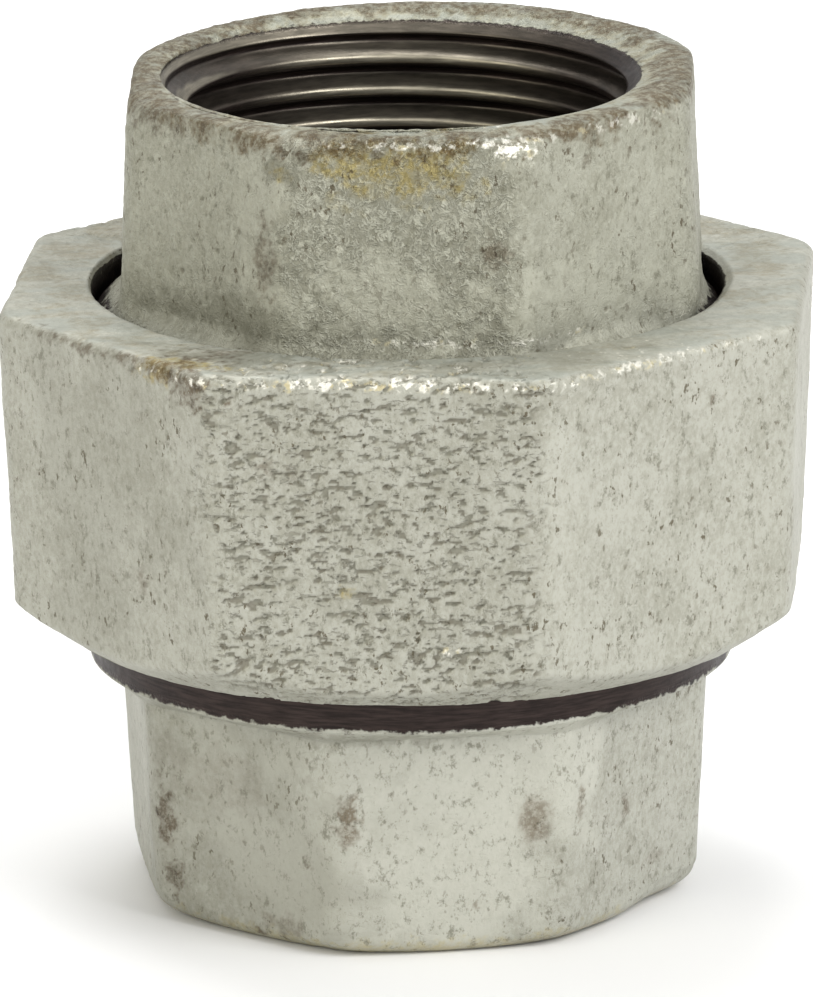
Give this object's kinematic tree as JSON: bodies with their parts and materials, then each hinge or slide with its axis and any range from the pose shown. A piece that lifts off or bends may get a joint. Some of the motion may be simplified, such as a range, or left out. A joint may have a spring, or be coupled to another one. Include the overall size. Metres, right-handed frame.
{
  "type": "pipe union",
  "caption": "Galvanised malleable-iron pipe union: internally threaded octagonal ends drawn together over a flat gasket by a large octagonal union nut.",
  "frame": {"origin": "centre of the lower end face, on the bore's axis", "axes": "+Z along the bore from the externally threaded lower end to the loose upper end; +X and +Y square to wrench flats of the lower end"},
  "size_m": [0.0588, 0.0588, 0.058],
  "materials": {
    "galvanised_iron": "hot-dip galvanised as-cast skin, dull grey-green zinc; machined threads dark and bare",
    "gasket_rubber": "matt black sealing ring"
  },
  "bodies": {
    "body": {"union_body": "galvanised_iron"},
    "gasket": {"gasket": "gasket_rubber"},
    "tail": {"union_tail": "galvanised_iron"},
    "nut": {"union_nut": "galvanised_iron"}
  },
  "joints": [
    {"name": "gasket_lift", "type": "slide", "parent": "body", "child": "gasket", "axis": [0, 0, 1], "range_m": [0, 0.01213]},
    {"name": "tail_swivel", "type": "hinge", "parent": "gasket", "child": "tail", "pos_m": [0, 0, 0.045], "axis": [0, 0, 1], "continuous": true},
    {"name": "nut_turn", "type": "hinge", "parent": "gasket", "child": "nut", "pos_m": [0, 0, 0.032], "axis": [0, 0, 1], "range_deg": [0, 1890]}
  ],
  "couplings": [
    {"joint": "gasket_lift", "follows": "nut_turn", "m_per_rad": 0.0003675}
  ]
}
